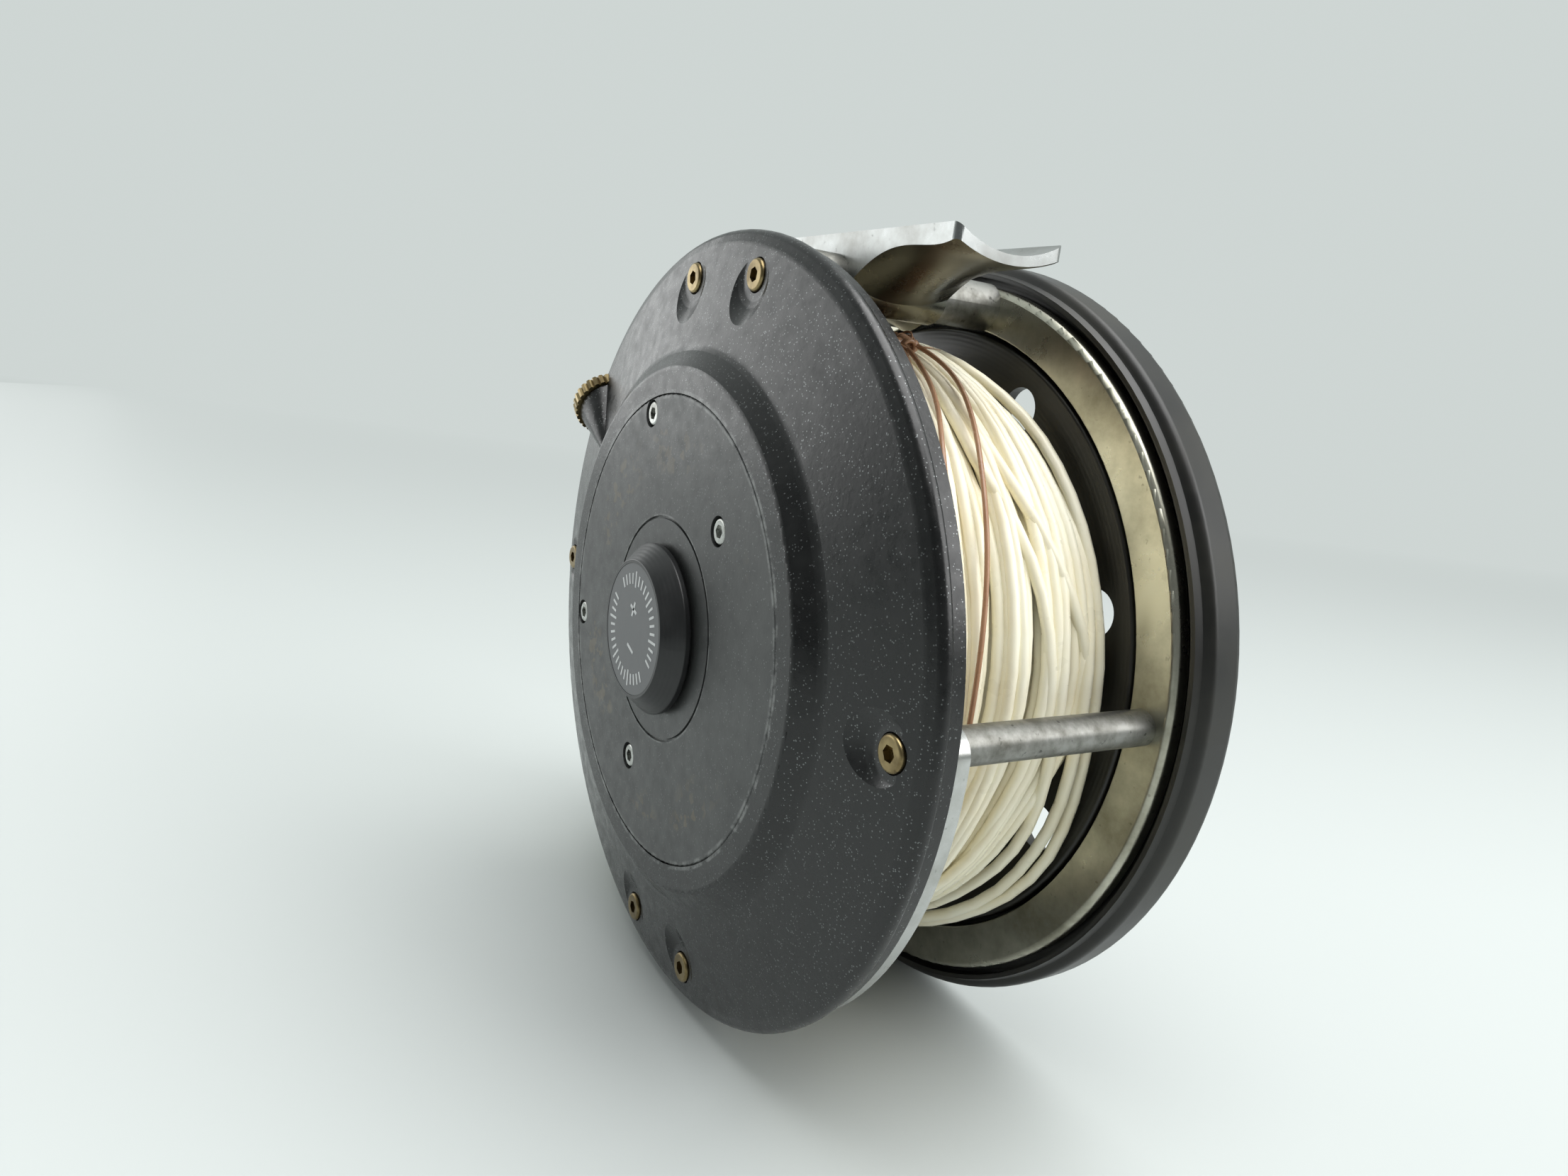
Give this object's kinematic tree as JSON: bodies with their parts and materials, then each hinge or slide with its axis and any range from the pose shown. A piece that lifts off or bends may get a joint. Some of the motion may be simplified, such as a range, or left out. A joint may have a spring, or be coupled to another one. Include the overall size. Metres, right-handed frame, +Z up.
{
  "type": "fly reel",
  "caption": "Salmon fly reel with a domed back plate, open pillared cage, foot for a rod's butt, perforated palming-rim spool wound with line, drag knob and adjustable click check.",
  "frame": {"origin": "on the reel foot, at the lowest line of its saddle and half way along it, where the rod's butt rests", "axes": "+Y along the spool's axis from the back plate to the handle side, +Z up out of the foot's saddle, +X along the rod, the line leaving towards +X"},
  "size_m": [0.1048, 0.0684, 0.1048],
  "materials": {
    "speckled_black_paint": "satin black paint with fine metal flake",
    "cover_grey_paint": "satin dark grey paint with fine metal flake",
    "bright_chrome": "worn bright chrome plate",
    "tarnished_chrome": "tarnished warm grey chrome plate",
    "machined_brass": "machined brass",
    "stainless_steel": "machined stainless steel",
    "black_anodised": "satin black anodised",
    "spool_black": "semi-gloss black",
    "badge_grey": "satin grey label",
    "cork": "pressed cork",
    "spring_steel": "spring steel",
    "bronze": "oiled bronze",
    "handle_black": "polished black composition",
    "black_acetal": "machined black acetal",
    "backing_white": "braided backing line",
    "ivory_line": "supple ivory coated line",
    "copper_monofilament": "clear copper-brown monofilament"
  },
  "bodies": {
    "frame": {"back_plate": "speckled_black_paint", "cover_disc": "cover_grey_paint", "cover_screws": "stainless_steel", "near_cage_ring": "bright_chrome", "far_cage_ring": "tarnished_chrome", "cage_pillars": "tarnished_chrome", "foot_pillars": "tarnished_chrome", "rear_pillar_screws": "machined_brass", "front_ring_screws": "stainless_steel", "reel_foot": "bright_chrome", "mechanism_plate": "machined_brass", "axle": "stainless_steel", "pawl_post": "stainless_steel", "check_spring": "spring_steel", "check_bracket": "machined_brass"},
    "drag_knob": {"drag_knob": "black_anodised", "knob_badge": "badge_grey", "drag_screw": "stainless_steel"},
    "pressure_collar": {"drag_cross_key": "stainless_steel", "pressure_collar": "machined_brass", "friction_washer": "cork"},
    "check_adjuster": {"adjuster_screw": "machined_brass", "adjuster_wheel": "machined_brass"},
    "tension_block": {"tension_block": "black_acetal"},
    "check_pawl": {"check_pawl": "stainless_steel"},
    "spool": {"near_flange": "spool_black", "spool_arbor": "spool_black", "spool_bush": "bronze", "far_flange": "spool_black", "check_gear": "machined_brass", "gear_pins": "stainless_steel", "latch_spring": "spring_steel", "latch_cap": "bright_chrome", "latch_cap_screws": "stainless_steel", "handle_post": "stainless_steel", "handle_screw": "stainless_steel", "counterweight": "stainless_steel", "backing_winding": "backing_white", "fly_line_winding": "ivory_line", "leader": "copper_monofilament", "leader_knot": "copper_monofilament"},
    "latch_slide": {"latch_slide": "stainless_steel"},
    "handle_knob": {"handle_knob": "handle_black"}
  },
  "joints": [
    {"name": "spool_spin", "type": "hinge", "parent": "frame", "child": "spool", "pos_m": [0, -0.0167, -0.04922], "axis": [0, 1, 0], "continuous": true},
    {"name": "handle_spin", "type": "hinge", "parent": "spool", "child": "handle_knob", "pos_m": [-0.0279, 0.0233, -0.07197], "axis": [0, 1, 0], "continuous": true},
    {"name": "latch_press", "type": "slide", "parent": "spool", "child": "latch_slide", "axis": [0, 0, 1], "range_m": [0, 0.0038], "stiffness_N_per_m": 150, "springref_m": -0.002, "deforming": ["latch_spring"]},
    {"name": "drag_knob_turn", "type": "hinge", "parent": "frame", "child": "drag_knob", "pos_m": [0, -0.0167, -0.04922], "axis": [0, 1, 0], "range_deg": [-216, 0]},
    {"name": "drag_pressure", "type": "slide", "parent": "frame", "child": "pressure_collar", "axis": [0, 1, 0], "range_m": [-0.0003, 0]},
    {"name": "check_adjuster_turn", "type": "hinge", "parent": "frame", "child": "check_adjuster", "pos_m": [0, -0.0167, -0.04922], "axis": [-0.8387, 0, 0.5446], "range_deg": [0, 360]},
    {"name": "tension_travel", "type": "slide", "parent": "frame", "child": "tension_block", "axis": [-0.8387, 0, 0.5446], "range_m": [0, 0.0005]},
    {"name": "check_pawl_turn", "type": "hinge", "parent": "frame", "child": "check_pawl", "pos_m": [-0.01274, -0.0137, -0.04404], "axis": [0, -1, 0], "range_deg": [0, 8], "stiffness_Nm_per_rad": 0.004, "springref_deg": -11.46}
  ],
  "couplings": [
    {"joint": "drag_pressure", "follows": "drag_knob_turn", "m_per_rad": 0.000079577},
    {"joint": "tension_travel", "follows": "check_adjuster_turn", "m_per_rad": 0.000079577}
  ]
}
